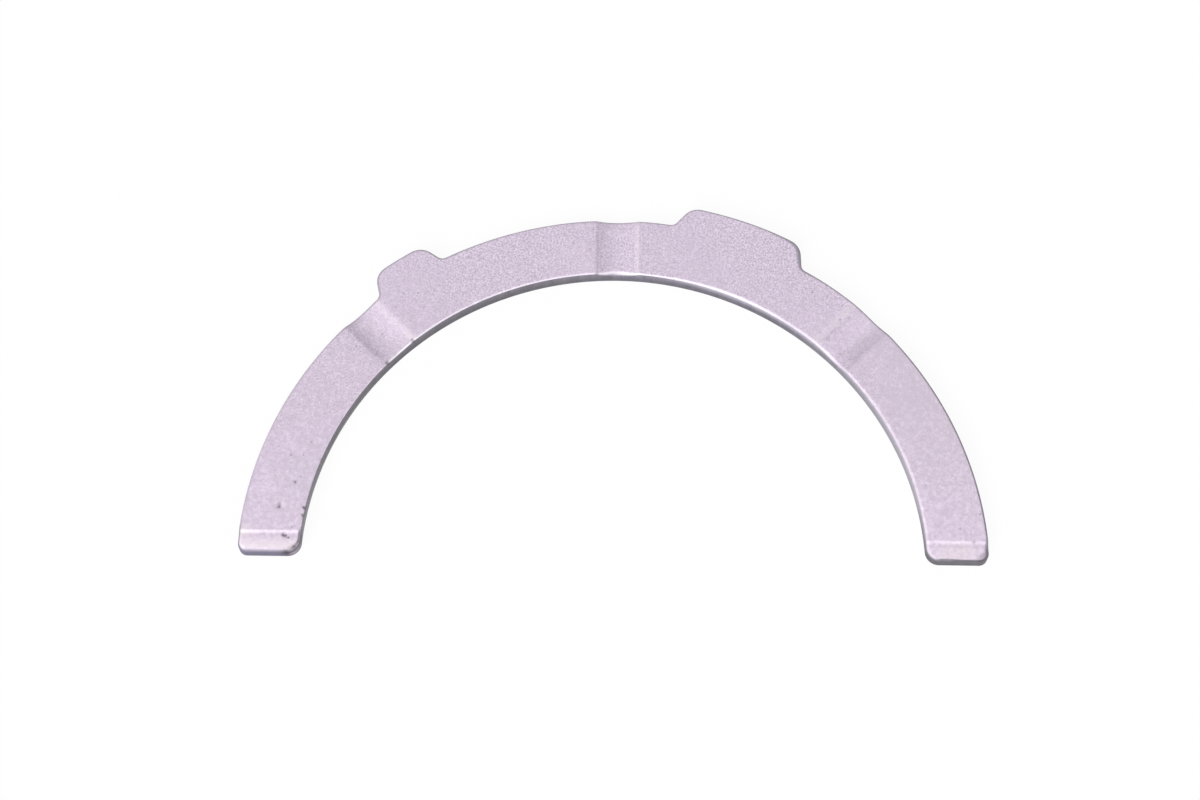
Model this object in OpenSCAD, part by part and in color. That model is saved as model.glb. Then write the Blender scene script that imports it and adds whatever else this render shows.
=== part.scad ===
// Half-round thrust washer for a crankshaft main bearing.
// One flat stamping: a half ring with two locating tabs on its rim, three coined
// oil grooves across the running face and a relieved, rounded tip at each end.
// The back lies on z = 0, the running face looks up along +Z, and the shaft axis is Z.

/* [Ring] */
// Diameter of the bore that clears the shaft journal
inner_d = 63.4; // [56:0.1:74]
// Width of the ring from the bore to the rim
ring_w = 6.3; // [5:0.1:9]
// Thickness from the back to the running face
thickness = 2; // [1.7:0.05:3.2]

/* [Locating tabs] */
// Height of the tabs above the rim
tab_h = 2.4; // [1.6:0.1:3.6]
// Width of the large tab where it leaves the rim
large_tab_w = 14.4; // [9:0.1:18]
// Width of the small tab where it leaves the rim
small_tab_w = 7.8; // [5.6:0.1:7.8]
// Direction of the large tab, counted from +X
large_tab_angle = 70; // [66:0.1:72]
// Direction of the small tab, counted from +X
small_tab_angle = 125.1; // [115:0.1:125.1]
// Lean of each flank from the middle line of its tab
tab_flank_angle = 22; // [8:1:26]
// Rounding of the tip corners of the tabs
tab_corner_r = 1.9; // [0.5:0.1:2.5]
// Fillet where a tab flank meets the rim
tab_root_r = 0.8; // [0.4:0.1:1.2]

/* [Oil grooves] */
// Width of a groove at the running face
groove_w = 4.5; // [3:0.1:4.8]
// Depth of a groove at its middle line
groove_depth = 0.55; // [0.3:0.05:0.8]
// Number of grooves
groove_count = 3; // [1:1:3]
// Angle between neighbouring grooves
groove_pitch = 45; // [44:0.5:46]

/* [Ends] */
// Distance from the joint line through the shaft axis to each end face
end_gap = 0.45; // [0.25:0.05:2]
// Length of the relief at each end
relief_len = 1.95; // [1.45:0.05:3]
// Height and length of the small step where the relief starts
relief_step = 0.18; // [0.08:0.05:0.28]
// Depth of the relief at the end face
relief_depth = 0.38; // [0.33:0.05:0.53]
// Rounding of the upper edge of the end face
end_edge_r = 0.5; // [0.2:0.05:0.5]
// Plan radius of the end corners on the bore side
end_bore_corner_r = 1.4; // [0.6:0.1:1.4]
// Plan radius of the end corners on the rim side
end_rim_corner_r = 1; // [0.6:0.1:1.4]

/* [Edges] */
// Chamfer along the bore on the running face
bore_chamfer = 0.21; // [0.16:0.05:0.56]
// Edge break along the rim, the tabs and the back
edge_break = 0.2; // [0.1:0.05:0.3]

/* [Hidden] */
$fn = 96;

inner_r = inner_d / 2;
outer_r = inner_r + ring_w;
tab_tip_r = outer_r + tab_h;
// Radius inside the ring from which a tab grows
tab_foot_r = (inner_r + outer_r) / 2;
// Angle left free of the rim edge break beside a tab fillet
break_stop = 0.3;
// Depth by which a rounding is sunk into the faces that it joins
embed = 0.02;
// Overshoot of a cutting tool past the faces that it cuts
past = 1;
// Share of a tab's walls that its roundings may take up
rounded_share = 0.97;
// Angle by which the rim tool runs past the ends of the half ring
rim_overrun = 20;
// Facets along the rounded upper edge of an end face
edge_facets = 6;
washer_colour = [0.84, 0.79, 0.85];

// Radius of the arc that has the width and depth of a groove
groove_r = (pow(groove_w / 2, 2) + pow(groove_depth, 2)) / (2 * groove_depth);
first_groove_angle = 90 - groove_pitch * (groove_count - 1) / 2;

// Slope of the relief floor, from the foot of its step down to the end face
relief_start = end_gap + relief_len;
relief_slope = atan((relief_depth - relief_step) / (relief_len - relief_step));

// Distance from the axis to the line where the flanks of a tab leave the rim
function tab_root_x(width) = sqrt(pow(outer_r, 2) - pow(width / 2, 2));

// Half of the width of a tab at its foot inside the ring and at its tip
function tab_foot_half(width) = width / 2 + (tab_root_x(width) - tab_foot_r) * tan(tab_flank_angle);
function tab_tip_half(width) = width / 2 - (tab_tip_r - tab_root_x(width)) * tan(tab_flank_angle);

// Lean of a tab flank from the radius at its root, and the length that a unit rounding takes from it
function flank_lean(width) = tab_flank_angle - asin(width / 2 / outer_r);
function flank_take(width) = tan(45 - flank_lean(width) / 2);

// Share of the set roundings for which a tab flank is long enough
function flank_share(width) =
    let (room = rounded_share * tab_h / cos(flank_lean(width)) / flank_take(width))
    min(1, room / (tab_corner_r + tab_root_r));

// Roundings of a tab, limited by the length of its flanks and the width of its tip
function fitted_root_r(width) = tab_root_r * flank_share(width);
function fitted_corner_r(width) =
    min(tab_corner_r * flank_share(width), rounded_share * tab_tip_half(width) / flank_take(width));

// Outward normal and outward run of a tab flank, on side +1 or -1 of a tab that points along +X
function flank_normal(side) = [sin(tab_flank_angle), side * cos(tab_flank_angle)];
function flank_run(side) = [cos(tab_flank_angle), -side * sin(tab_flank_angle)];

// Point at a distance outside a tab flank and at a radius from the shaft axis
function beside_flank(width, side, out, radius) =
    let (
        start = [tab_root_x(width), side * width / 2] + out * flank_normal(side),
        b = start * flank_run(side)
    )
    start + (sqrt(b * b - start * start + radius * radius) - b) * flank_run(side);

// Order of four corners that runs the same way round on both sides of a tab
function turned(side) = side > 0 ? [0, 1, 2, 3] : [3, 2, 1, 0];

// Centre of the fillet between a tab flank and the rim
function root_centre(width, side) =
    let (sunk_r = fitted_root_r(width) - embed)
    beside_flank(width, side, sunk_r, outer_r + sunk_r);

// Half of the angle that a tab and its fillets take up on the rim
function tab_reach(width) = atan2(root_centre(width, 1)[1], root_centre(width, 1)[0]) + break_stop;

// Centre of an end corner at a radius from the shaft axis
function end_corner_centre(radius, corner_r) =
    let (y = end_gap + corner_r - embed)
    [sqrt(radius * radius - y * y), y];

module ring_plan() {
    difference() {
        circle(r = outer_r);
        circle(r = inner_r);
        translate([-outer_r - past, -outer_r - past])
            square([2 * (outer_r + past), outer_r + past]);
    }
}

// Corner of a tab tip that its rounding takes away
module tab_corner_plan(width, side) {
    corner_r = fitted_corner_r(width);
    centre = beside_flank(width, side, embed - corner_r, tab_tip_r - corner_r + embed);
    along = (corner_r + past) * centre / norm(centre);
    out = (corner_r + past) * flank_normal(side);
    difference() {
        polygon([centre, centre + along, centre + along + out, centre + out], [turned(side)]);
        translate(centre)
            circle(r = corner_r);
    }
}

// Web that fills the fillet between a tab flank and the rim
module tab_root_plan(width, side) {
    root_r = fitted_root_r(width);
    centre = root_centre(width, side);
    difference() {
        polygon([
            [tab_root_x(width) - 2 * root_r, side * (width / 2 - root_r)],
            centre - (root_r + embed) * flank_normal(side),
            centre,
            centre * (outer_r - 2 * embed) / norm(centre),
        ], [turned(side)]);
        translate(centre)
            circle(r = root_r);
    }
}

module tab_plan(width, angle) {
    foot_half = tab_foot_half(width);
    tip_half = tab_tip_half(width);
    rotate(angle) {
        difference() {
            intersection() {
                circle(r = tab_tip_r);
                polygon([
                    [tab_foot_r, -foot_half],
                    [tab_tip_r, -tip_half],
                    [tab_tip_r, tip_half],
                    [tab_foot_r, foot_half],
                ]);
            }
            tab_corner_plan(width, 1);
            tab_corner_plan(width, -1);
        }
        tab_root_plan(width, 1);
        tab_root_plan(width, -1);
    }
}

module blank() {
    linear_extrude(thickness) {
        ring_plan();
        tab_plan(large_tab_w, large_tab_angle);
        tab_plan(small_tab_w, small_tab_angle);
    }
}

// Tool for the chamfer along the bore on the running face and the edge break on the back
module bore_edges() {
    rotate_extrude()
        polygon([
            [inner_r - past, thickness + past],
            [inner_r - past, thickness - bore_chamfer - past],
            [inner_r + bore_chamfer + past, thickness + past],
        ]);
    rotate_extrude()
        polygon([
            [inner_r - past, -past],
            [inner_r + edge_break + past, -past],
            [inner_r - past, edge_break + past],
        ]);
}

// Tool for the edge breaks of the rim between two angles
module rim_edges(from, to) {
    rotate(from)
        rotate_extrude(angle = to - from) {
            polygon([
                [outer_r + past, thickness + past],
                [outer_r - edge_break - past, thickness + past],
                [outer_r + past, thickness - edge_break - past],
            ]);
            polygon([
                [outer_r + past, -past],
                [outer_r + past, edge_break + past],
                [outer_r - edge_break - past, -past],
            ]);
        }
}

// Tool for the oil grooves: round bars laid along the radii
module groove_bars() {
    for (i = [0 : groove_count - 1])
        rotate(first_groove_angle + i * groove_pitch)
            translate([0, 0, thickness - groove_depth + groove_r])
                rotate([0, 90, 0])
                    cylinder(r = groove_r, h = tab_tip_r + past);
}

// Step, sloping floor and rounded edge of an end face, in the Y-Z plane
module end_profile() {
    step_foot = [relief_start - relief_step, thickness - relief_step];
    edge_y = end_gap + end_edge_r;
    edge_z = step_foot[1]
        - (end_edge_r + sin(relief_slope) * (step_foot[0] - edge_y)) / cos(relief_slope);
    polygon([
        [relief_start, thickness + past],
        [relief_start, thickness],
        step_foot,
        for (i = [0 : edge_facets])
            let (a = 90 + relief_slope + (90 - relief_slope) * i / edge_facets)
                [edge_y + end_edge_r * cos(a), edge_z + end_edge_r * sin(a)],
        [end_gap, -past],
        [-past, -past],
        [-past, thickness + past],
    ]);
}

module end_relief() {
    translate([inner_r - past, 0, 0])
        rotate([90, 0, 90])
            linear_extrude(outer_r - inner_r + 2 * past)
                end_profile();
}

// Tool that rounds one end corner in plan and tapers its upper edge
module end_corner(radius, corner_r, clear_r) {
    centre = end_corner_centre(radius, corner_r);
    shoulder = thickness - relief_depth - end_edge_r;
    difference() {
        translate([0, 0, -past])
            linear_extrude(thickness + 2 * past)
                polygon([
                    centre,
                    centre * clear_r / radius,
                    [clear_r, -past],
                    [centre[0], -past],
                ]);
        translate([centre[0], centre[1], -2 * past])
            cylinder(r = corner_r, h = shoulder + 2 * past);
        translate([centre[0], centre[1], shoulder])
            cylinder(r1 = corner_r, r2 = corner_r - end_edge_r, h = thickness - shoulder);
    }
}

// All the cuts at one end
module end_cuts() {
    end_relief();
    end_corner(outer_r - end_rim_corner_r + embed, end_rim_corner_r, outer_r + past);
    end_corner(inner_r + end_bore_corner_r - embed, end_bore_corner_r, inner_r - past);
}

module thrust_washer() {
    color(washer_colour)
        difference() {
            blank();
            bore_edges();
            rim_edges(-rim_overrun, large_tab_angle - tab_reach(large_tab_w));
            rim_edges(large_tab_angle + tab_reach(large_tab_w), small_tab_angle - tab_reach(small_tab_w));
            rim_edges(small_tab_angle + tab_reach(small_tab_w), 180 + rim_overrun);
            groove_bars();
            end_cuts();
            mirror([1, 0, 0])
                end_cuts();
        }
}

thrust_washer();
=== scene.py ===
"""Half-round thrust washer: a lined steel strip with tabs, oil grooves and relieved ends."""
import math

import bpy
import numpy as np
from mathutils import Matrix, Vector
from mathutils.geometry import delaunay_2d_cdt


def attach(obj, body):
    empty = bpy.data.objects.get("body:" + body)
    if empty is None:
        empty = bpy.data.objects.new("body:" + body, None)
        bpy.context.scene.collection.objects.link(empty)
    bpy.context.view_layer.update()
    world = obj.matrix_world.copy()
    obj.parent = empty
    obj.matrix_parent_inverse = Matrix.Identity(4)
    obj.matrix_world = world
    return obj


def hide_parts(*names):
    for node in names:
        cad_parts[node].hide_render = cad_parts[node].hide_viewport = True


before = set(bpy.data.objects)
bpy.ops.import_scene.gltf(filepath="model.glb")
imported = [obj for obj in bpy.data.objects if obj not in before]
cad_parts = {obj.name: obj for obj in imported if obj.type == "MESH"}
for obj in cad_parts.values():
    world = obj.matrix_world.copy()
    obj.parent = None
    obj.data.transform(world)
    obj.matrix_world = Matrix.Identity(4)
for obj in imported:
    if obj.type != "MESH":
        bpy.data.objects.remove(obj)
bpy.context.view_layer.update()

# Lengths are in mm and angles in degrees, those along the ring from +X, unless a comment says otherwise
MM = 0.001

# Plan sizes, the same values as in the part's source
BORE_R = 31.7
RIM_R = 38.0
THICKNESS = 2.0
TAB_TIP_R = 40.4
LARGE_TAB = {"width": 14.4, "angle": 70.0}
SMALL_TAB = {"width": 7.8, "angle": 125.1}
TAB_FLANK = 22.0
TAB_CORNER_R = 1.9
TAB_ROOT_R = 0.8
END_GAP = 0.45
END_BORE_CORNER_R = 1.4
GROOVE_ANGLES = (45.0, 90.0, 135.0)
GROOVE_HALF = 2.25
EDGE_BREAK = 0.2

# Sizes that differ a little from the plain values of the source
END_RIM_CORNER_R = {"left": 0.88, "right": 0.92}
GROOVE_DEPTH = 0.52

# Grooves, in the order of their angles: power of the section and softness of the lips
RIGHT, MIDDLE, LEFT = range(3)
GROOVE_POWER = np.array([1.5, 1.9, 2.0])
GROOVE_LIP = np.array([0.08, 0.03, 0.1])
# Share of its half width by which the deepest line of each groove lies off its middle line
GROOVE_SKEW = np.array([-0.25, 0.1, 0.12])
# Step along the right and the left edge of each groove, and the width over which it sets in
GROOVE_STEP = np.array([(0.0, 0.0), (0.07, 0.02), (0.0, 0.0)])
GROOVE_STEP_FADE = 0.25
# Share of its depth that each groove keeps at the rim and the bore, and the lengths over which it changes
GROOVE_AT_RIM = np.array([0.75, 0.85, 1.0])
GROOVE_AT_BORE = np.array([1.0, 1.0, 0.5])
AT_RIM_FADE = 2.2
AT_BORE_FADE = 2.0
# Height over the face at which the curve of a groove's section is cut off, and a distance far off any groove
SECTION_CUT = 1.0
FAR = 99.0
# Dip where a groove runs out through the rim, its length, and the X up to which grooves have it
RUNOUT_DIP = 0.1
RUNOUT_LEN = 1.2
RUNOUT_MAX_X = 10.0

# Relief at each end: depth and length of its step, depth at the end face, and where it starts
RELIEF_STEP = 0.18
RELIEF_STEP_LEN = 0.4
RELIEF_DEPTH = 0.38
RELIEF_START = {"left": 2.69, "right": 2.51}

# Width of the rounded upper edge along the rim, near the tips and along the ends, and power of its section
RIM_ROLL = 0.24
TIP_ROLL = 0.45
END_ROLL = {"left": 0.6, "right": 0.25}
ROUND_POWER = 2.0
# Distance above the relief at which the wider edge of the tips sets in, and the length over which it does
TIP_ABOVE = 0.5
TIP_FADE = 1.2
# Places along X where an end's rounding is wider, the extra width and its reach
END_BULGES = ((-37.6, 0.1, 1.8), (33.6, 0.13, 1.0))
# Angle and strength of the steel line along the rim; its strength by angle partly paints the shade of the
# rounded edge under the key lamp
RIM_LINE = np.array([
    (0.0, 0.7),
    (3.5, 0.7),
    (6.0, 0.92),
    (25.0, 0.85),
    (38.0, 0.78),
    (46.0, 0.6),
    (60.0, 0.6),
    (70.0, 0.55),
    (84.0, 0.33),
    (108.0, 0.27),
    (120.0, 0.5),
    (131.0, 0.5),
    (142.0, 0.25),
    (160.0, 0.15),
    (168.0, 0.2),
    (175.0, 0.35),
    (177.0, 1.0),
    (180.0, 1.0),
])
# Bore edge: angle, width, power of its section, and brightness, which sets the painted highlight on the
# burnished edge
BORE_EDGE = np.array([
    (0.0, 0.3, 1.5, 0.3),
    (10.0, 0.3, 1.5, 0.2),
    (30.0, 0.3, 1.5, 0.1),
    (42.0, 0.27, 1.8, 0.3),
    (47.0, 0.28, 1.9, 0.3),
    (49.5, 0.32, 2.0, 0.1),
    (55.0, 0.34, 2.0, 0.1),
    (62.0, 0.35, 2.0, 0.5),
    (70.0, 0.37, 2.0, 0.5),
    (79.0, 0.21, 1.6, 0.5),
    (84.5, 0.16, 1.4, 0.5),
    (86.5, 0.18, 1.4, 1.0),
    (92.0, 0.18, 1.4, 0.9),
    (94.0, 0.15, 1.3, 0.3),
    (97.0, 0.15, 1.3, 0.45),
    (118.0, 0.16, 1.3, 0.6),
    (130.0, 0.18, 1.3, 0.9),
    (132.0, 0.26, 4.0, 1.2),
    (137.5, 0.26, 4.0, 1.2),
    (139.0, 0.12, 1.5, 0.2),
    (146.0, 0.12, 1.5, 0.4),
    (158.0, 0.1, 1.5, 0.4),
    (166.0, 0.09, 1.5, 0.0),
    (180.0, 0.09, 1.5, 0.0),
])
# Waves in the width of the bore edge: share of the width, waves per radian and phase
BORE_WAVES = ((0.06, 23, 1), (0.05, 57, 0), (0.05, 131, 2), (0.04, 211, 0))
# Runout of each groove through the bore: extra edge width, share of bare steel, reach and section power
BORE_RUNOUT = np.array([0.15, 0.45, 0.0])
RUNOUT_STEEL = np.array([0.2, 1.0, 0.0])
RUNOUT_REACH = 0.7 * GROOVE_HALF
RUNOUT_POWER = 2.0
# How far up an edge bare steel reaches and the part over which it fades, as shares of the edge's width
RIM_STEEL = {"reach": 1.1, "rolled": 0.2, "tip": -0.6, "fade": 0.4}
BORE_STEEL = {"reach": 0.3, "runout": 0.55, "fade": 0.3, "runout_fade": 0.4}
RIGHT_END_STEEL = {"reach": 0.85, "fade": 0.3}
# Share of the bore edge's width over which its painted highlight fades
BRIGHT_FADE = 0.25
# Strength of the painted highlight along the rim of the left tip, and its band in shares of the edge's width
TIP_BRIGHT = 0.1
TIP_BRIGHT_BAND = (0.35, 0.3, 1.0, 0.5)

# The large tab's corner towards +X is rolled over: place, reach, extra edge width and painted shade
ROLLED_CORNER = (19.3, 34.6)
ROLLED_REACH = 2.6
ROLLED_EXTRA = 0.22
ROLLED_SHADE = 0.25
# The inner corner of the left end is burred: its top, its fade, its extra edge width and its waver
BURR_TOP = 3.1
BURR_FADE = 0.8
BURR_WIDTH = 0.2
BURR_WAVER = 0.15
BURR_WAVES = {"x": 5, "y": 6}
# Place along X and reach of the burr's foot on the end wall
BURR_FOOT_X = -33.0
BURR_FOOT_REACH = 0.45
# Angle, extra edge width and darkness of each nick along the bore, and the length of a nick
NICKS = (
    (78.6, 0.08, 0.0),
    (93.7, 0.1, 0.35),
    (118.0, 0.1, 0.0),
    (131.8, 0.1, 0.7),
    (138.3, 0.12, 0.8),
    (152.0, 0.06, 0.25),
    (161.0, 0.06, 0.25),
    (170.8, 0.2, 0.8),
    (172.3, 0.14, 0.6),
)
NICK_LEN = 0.19
# Place (X and Y), radius and depth of each pit, and the depth from which one looks fully dark
PITS = (
    (-33.15, 2.16, 0.19, 0.15),
    (-33.38, 2.22, 0.17, 0.12),
    (-32.85, 1.95, 0.12, 0.08),
    (-33.94, 5.17, 0.15, 0.1),
    (-33.9, 5.4, 0.09, 0.05),
    (-32.48, 7.85, 0.1, 0.05),
    (36.45, 2.4, 0.2, 0.03),
    (23.47, 26.77, 0.1, 0.03),
    (23.35, 25.89, 0.1, 0.025),
    (22.11, 24.54, 0.14, 0.02),
)
PIT_DEPTHS = np.array(PITS)[:, 3]
PIT_DARK_DEPTH = 0.05

# Dark line below each relief step: strength, distance from the step's foot, and reach
STEP_SHADE = 0.1
STEP_SHADE_BELOW = 0.1
STEP_SHADE_REACH = 0.3
# Painted shade on the steep side of the right groove: strength, and its band across and along the groove
FLANK_SHADE = 0.1
FLANK_SHADE_ACROSS = (-GROOVE_HALF, 0.3, 0.2, 1.4)
FLANK_SHADE_ALONG = (BORE_R + 0.6, 1.2, RIM_R - 0.1, 0.8)
# Torn upper lip of the right groove: strength, place across it, width, band along it, waves and patches
TORN_LIP = 0.28
TORN_LIP_AT = 1.85
TORN_LIP_WIDTH = 0.16
TORN_LIP_ALONG = (BORE_R + 0.8, 0.8, RIM_R - 0.9, 0.8)
TORN_LIP_WAVES = ((0.1, 4.1, 0), (0.07, 9.3, 1))
TORN_LIP_PATCHES = (0.4, 5.7, 2)
# The lining at the right end's outer corner ends in a round: centre, radius, darkness outside it, fades
SHADED_CENTRE = (36.0, 2.4)
SHADED_R = 1.5
SHADED = 0.45
SHADED_FADE = 0.35
SHADED_X_START = 0.3
SHADED_X_FADE = 1.0
SHADED_Y_FADE = 1.3

# Places that are pressed smooth and pale: the relief floors and the floor of the left groove
COINED_FLOOR = {"left": 0.9, "right": 0.15}
COINED_FLOOR_FADE = 1.4
COINED_GROOVE = 0.08
COINED_GROOVE_FADE = 0.6
# Painted highlight on the lit right side of the left groove: place across it, reach, strength, and the extra
# strength at the bore
GROOVE_SIDE_HIGHLIGHT_AT = -1.95
GROOVE_SIDE_HIGHLIGHT_REACH = 0.32
GROOVE_SIDE_HIGHLIGHT = 0.35
GROOVE_SIDE_HIGHLIGHT_BORE = 0.6
GROOVE_SIDE_HIGHLIGHT_FADE = 2.2
# Pale lips, a painted highlight on the middle groove's lit right lip and a pale strip beside the right
# groove's left lip: groove, place across it, reach and strength
PALE_LIPS = ((MIDDLE, -2.11, 0.17, 0.5), (RIGHT, 2.45, 0.38, 0.4))
# The outer end of the left relief step: place, reach and strength
STEP_END = (-37.3, 2.4)
STEP_END_REACH = 0.7
STEP_END_PALE = 0.9

# Where marks and the rolled corner's painted shade sit on the upper edge, as place and reach in shares of
# its width
BURR_ON_EDGE = (0.55, 0.4)
FOOT_ON_EDGE = (0.0, 0.42)
ROLLED_SHADE_ON_EDGE = (0.0, 0.6)
# Where the lining's ridge and marks sit on the wall, in shares of its height, and the marks' strength there
RIDGE_ON_WALL = (0.4, 0.4)
BURR_ON_WALL = (0.0, 0.2)
FOOT_ON_WALL = (0.0, 0.6)
WALL_BURR = 0.5
WALL_FOOT = 0.9

# Spacing of the fine outline, distance below which points are one, and fewest parts of an arc and a line
FINE = 0.02
SAME_POINT = FINE / 10
MIN_ARC_PARTS = 6
MIN_LINE_PARTS = 2
# Spacing of the mesh along the outline: on plain stretches, and where it turns by more than so much per mm
OUTLINE_STEP = 0.24
TURN_STEP = 0.09
SHARP_TURN = 0.2
# By how much the spacing is finer at groove lips, over which length, and the spacing that is fine enough
LIP_FINER = 0.14
LIP_FINER_REACH = 0.5
LIP_FINER_LIMIT = 0.1
# By how much it is finer at relief steps, and over which length
RELIEF_FINER = 0.15
RELIEF_FINER_REACH = 0.4
# By how much it is finer at nicks, and the share of that for each mm of a nick's extra edge width
NICK_FINER = 0.16
NICK_FINER_GAIN = 10
# Rings of the mesh on the upper edge, as shares of its width, and how far inside it one more ring lies
RING_STEPS = (0.0, 0.03, 0.1, 0.2, 0.34, 0.52, 0.74, 1.0)
FLAT_RING = 0.12
# Rings on the wall, as shares of its height from the top, and inset and height of those at the back
WALL_STEPS = (0.03, 0.12, 0.3, 0.5, 0.7, 0.88, 1.0)
BACK_STEPS = ((0.06, 0.06), (EDGE_BREAK, 0.0))
# Spacing of the points inside the face and the back, the radius at which it is true, and their margin
FACE_STEP = 0.3
BACK_STEP = 0.9
GRID_R = 35
FACE_MARGIN = 0.07
BACK_MARGIN = 0.3
# Distance from a groove's middle line, and from the joint line, beyond which the face's points are even
GROOVE_CLEAR = 3.0
TIP_CLEAR = 3.3
# Finer rows in the grooves: spacing on the floor and along it, start inside the bore, and rows about the lip
GROOVE_FLOOR_STEP = 0.22
GROOVE_ALONG_STEP = 0.25
GROOVE_PAST_BORE = 0.5
LIP_ROWS = np.array([-0.28, -0.18, -0.1, -0.04, 0.02, 0.08, 0.16, 0.28, 0.45, 0.65])
# Finer rows at the tips: spacing across and along the floor, and rows about the step
TIP_ACROSS_STEP = 0.18
TIP_FLOOR_STEP = 0.12
STEP_ROWS = np.array([-0.24, -0.18, -0.14, -0.09, -0.04, 0.0, 0.05, 0.14, 0.3, 0.5, 0.68])
# Room that rows of points leave below the lip rows and the step rows
ROW_GAP = 0.3
# Points about a pit: clear share of its radius, shares of its radius with a ring, and angles on a ring
PIT_CLEAR = 1.4
PIT_RINGS = (0.5, 1.0)
PIT_ANGLES = np.arange(0, 360, 45)
# Points tested at a time, finest distance between points of a filled ring, and angle of a sharp edge
BATCH = 2000
FILL_TOLERANCE = 1e-7
SHARP_ANGLE = 38.0

# Masks of the surface, and the shares of an outline point that is all rim, all end or all bore edge
# The masks carry the burnished bore edge with its painted highlight, dark marks with painted shade, and
# pressed places with painted highlights
MASKS = ("steel", "bare", "back", "soil", "coined")
RIM, END, BORE = np.eye(3)

# Tones in 8-bit sRGB values
TONES = {
    # The leg and top tones paint a falloff of light: paler down the legs, darker at the top
    "leg": (224, 209, 228),
    "top": (209, 194, 213),
    "dark grain": (171, 156, 176),
    "pale grain": (241, 229, 246),
    "dark wall": (110, 105, 117),
    "pale wall": (150, 145, 158),
    "dark torn wall": (90, 86, 96),
    "pale torn wall": (124, 120, 132),
    "dark back": (140, 138, 144),
    "pale back": (172, 170, 175),
}
# Tints in 8-bit sRGB values, and the share of each that is mixed in where it is full
TINTS = {
    "pale blotch": ((224, 210, 228), 0.6),
    "pink patch": ((221, 203, 212), 0.4),
    "blue patch": ((203, 194, 212), 0.5),
    "dark mottle": ((194, 181, 197), 0.55),
    "pale mottle": ((236, 223, 240), 0.6),
    "streak": ((197, 184, 199), 0.3),
    "speck": ((118, 106, 118), 0.5),
    "warm leg": ((199, 186, 192), 0.2),
    "warm end": ((228, 213, 210), 0.24),
    # Pressed pale places, and painted highlights in the grooves
    "coined": ((241, 229, 232), 0.6),
    # Burnished bore edge with a painted highlight
    "bare": ((248, 243, 251), 0.8),
    "left wall": ((88, 84, 83), 0.35),
    "lit wall": ((194, 192, 205), 0.6),
    # Painted light on the bore walls of the right leg, which face the key lamp
    "lit leg wall": ((184, 179, 187), 0.6),
    # Painted light low on the walls of the left leg
    "lit lower wall": ((190, 186, 192), 0.4),
    "end wall": ((92, 88, 94), 0.6),
    "blued end": ((132, 130, 166), 0.35),
    "back speck": ((96, 92, 96), 0.4),
    # Dark marks and painted shade
    "soil": ((66, 60, 67), 0.85),
}
# Noise patterns: scale per m, detail and roughness, and the stretch of the streaks and of the upright marks
BLOTCH = (210.0, 3.0, 0.55)
PATCH = (90.0, 2.0, 0.5)
GRAIN = (5600.0, 2.0, 0.65)
MOTTLE = (2300.0, 2.0, 0.55)
STREAK = (1.0, 2.0, 0.55)
UPRIGHT = (1.0, 4.0, 0.6)
STREAK_STRETCH = (3200.0, 220.0, 400.0)
UPRIGHT_STRETCH = (1300.0, 1300.0, 350.0)
SPECK_SCALE = 1300.0
# Level of a pattern at which a mask starts and at which it is full
LEVELS = {
    "pale blotch": (0.45, 0.7),
    "pink patch": (0.55, 0.75),
    "blue patch": (0.45, 0.25),
    "grainy patch": (0.1, 0.62),
    "grain": (0.3, 0.7),
    "dark mottle": (0.42, 0.68),
    "pale mottle": (0.44, 0.22),
    "streak": (0.5, 0.8),
    "speck": (0.19, 0.07),
    "specked cell": (0.74, 0.8),
    "upright": (0.15, 0.85),
    "back": (0.3, 0.7),
}
# Axis, and the places on it in m at which a mask starts and at which it is full
PLACES = {
    # Place of the painted falloff of light on the lining
    "top": ("Y", 0.004, 0.03),
    "grainy": ("Y", -0.010, 0.036),
    "legs": ("Y", 0.048, 0.012),
    "right leg": ("X", 0.024, 0.031),
    "above the tip": ("Y", 0.007, 0.012),
    "off the bore corner": ("X", 0.0322, 0.0342),
    "off the rim corner": ("X", 0.0374, 0.0358),
    "relief floor": ("Y", 0.0027, 0.0018),
    "torn band": ("Z", 0.0016, 0.0007),
    "left wall": ("X", 0.002, -0.012),
    "lit side": ("X", 0.003, 0.010),
    "lit band": ("Z", 0.0011, 0.0018),
    "bore leg": ("Y", 0.003, 0.007),
    # Painted light on the bore walls of the right leg
    "lit leg side": ("X", 0.018, 0.03),
    # Painted light low on the walls of the left leg, set by these and the low places below
    "lit lower side": ("X", -0.023, -0.028),
    "lit lower band": ("Z", 0.0009, 0.0004),
    "low side": ("X", -0.0290, -0.0312),
    "low band": ("Z", 0.0019, 0.0008),
    "low leg": ("Y", 0.0018, 0.003),
    "tip": ("Y", 0.0026, 0.0014),
    "blued side": ("X", -0.031, -0.034),
}
# Distance from the shaft axis in m at which the walls of the bore side start and are full
BORE_SIDE = (0.0346, 0.034)
# Gloss: specular level, and the ranges that turn the steel mask into metal and the grain into roughness
SPECULAR = 0.35
METALLIC_RANGE = (-0.25, 2.0)
ROUGHNESS_RANGE = (-0.9, 1.6)
# Bump: shares of grain, streaks and upright marks, strength, and height in m
BUMP_GRAIN = 0.6
BUMP_STREAK = 0.4
BUMP_UPRIGHT = 0.8
BUMP_STRENGTH = 0.3
BUMP_HEIGHT = 0.00003

# Light: share of the even light, strength, softness and direction of the key lamp
AMBIENT = 0.42
KEY = 2.85
KEY_SIZE = 30.0
KEY_AZIMUTH = 240.0
KEY_ELEVATION = 40.0
WHITE = (1.0, 1.0, 1.0, 1.0)

# Floor: half its size and its gap below the part in m, its colour, and the share of plain white in its look
FLOOR_HALF = 3.0
FLOOR_GAP = 0.00002
FLOOR_COLOUR = (0.97, 0.97, 0.97, 1.0)
FLOOR_WHITE = 0.95

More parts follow.
